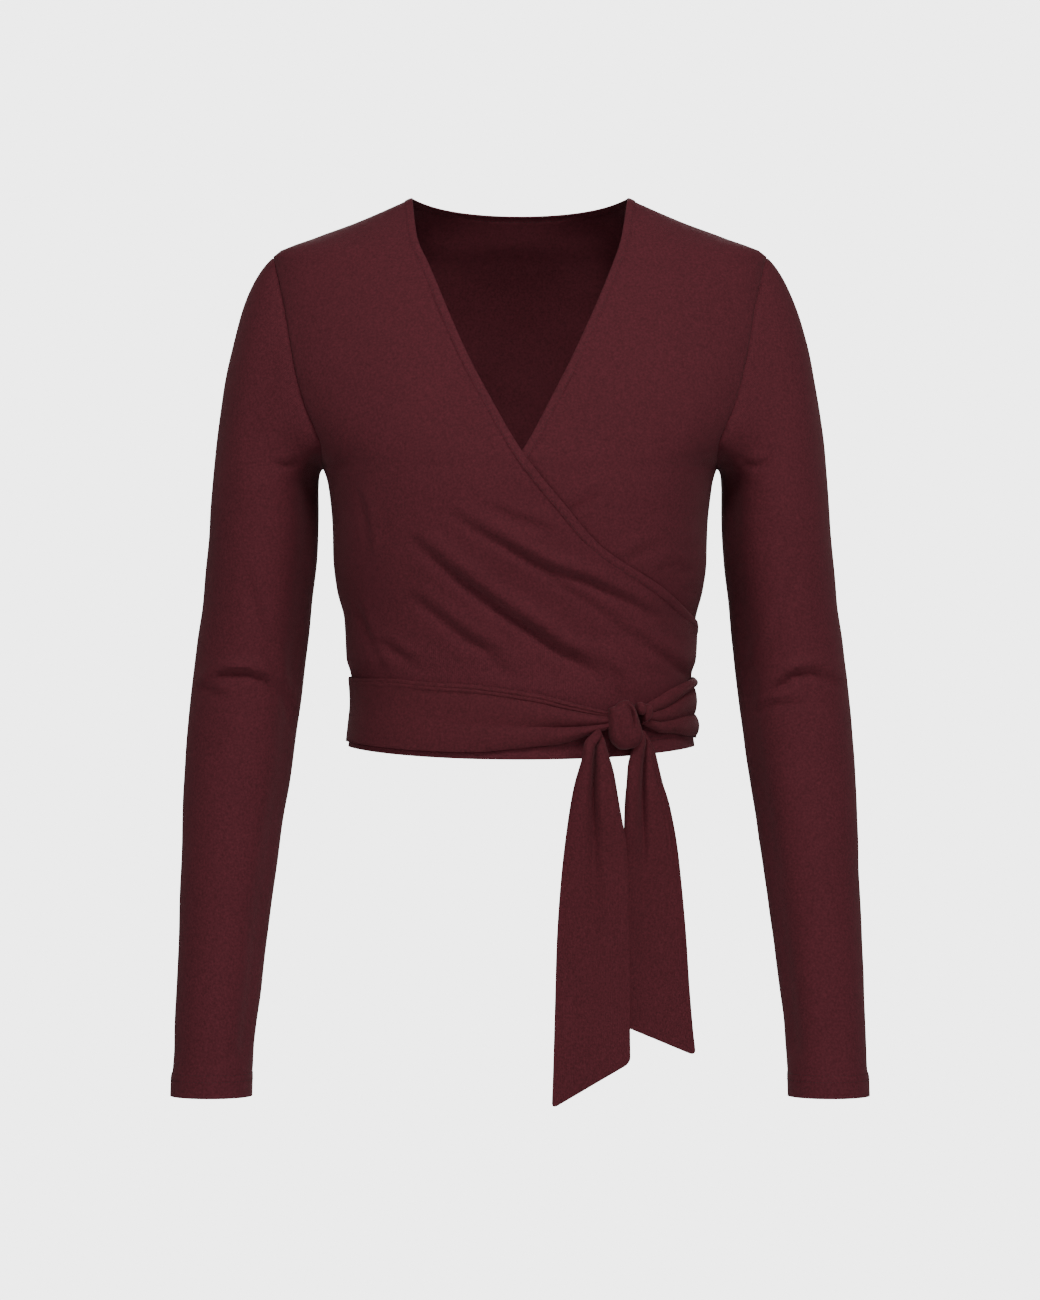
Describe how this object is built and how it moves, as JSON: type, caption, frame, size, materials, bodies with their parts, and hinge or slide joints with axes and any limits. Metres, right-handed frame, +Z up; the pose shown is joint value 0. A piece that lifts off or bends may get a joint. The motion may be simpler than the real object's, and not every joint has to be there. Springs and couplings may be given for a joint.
{
  "type": "wrap top",
  "caption": "Cropped jersey wrap top with long set-in sleeves, a crossed V neck and a sash knotted at the front, shown in its hollow worn form.",
  "frame": {"origin": "midway between the two points where the neck edge meets the shoulder seams", "axes": "+Z up, -Y out of the front, +X to the wearer's left"},
  "size_m": [0.512, 0.2178, 0.6645],
  "materials": {
    "jersey": "burgundy plain jersey, matt, fine knit",
    "binding": "the same jersey folded over the neck edge and stitched",
    "sash": "the same jersey, doubled, soft and matt"
  },
  "bodies": {
    "root": {"back_panel": "jersey", "front_over": "jersey", "front_under": "jersey", "sleeve_right": "jersey", "sleeve_left": "jersey", "neck_band_over": "binding", "neck_band_under": "binding", "neck_band_back": "binding", "sash_front_right": "sash", "sash_back": "sash", "sash_front_left": "sash", "knot": "sash", "knot_side_loop": "sash", "tail_front": "sash", "tail_back": "sash"}
  },
  "joints": []
}
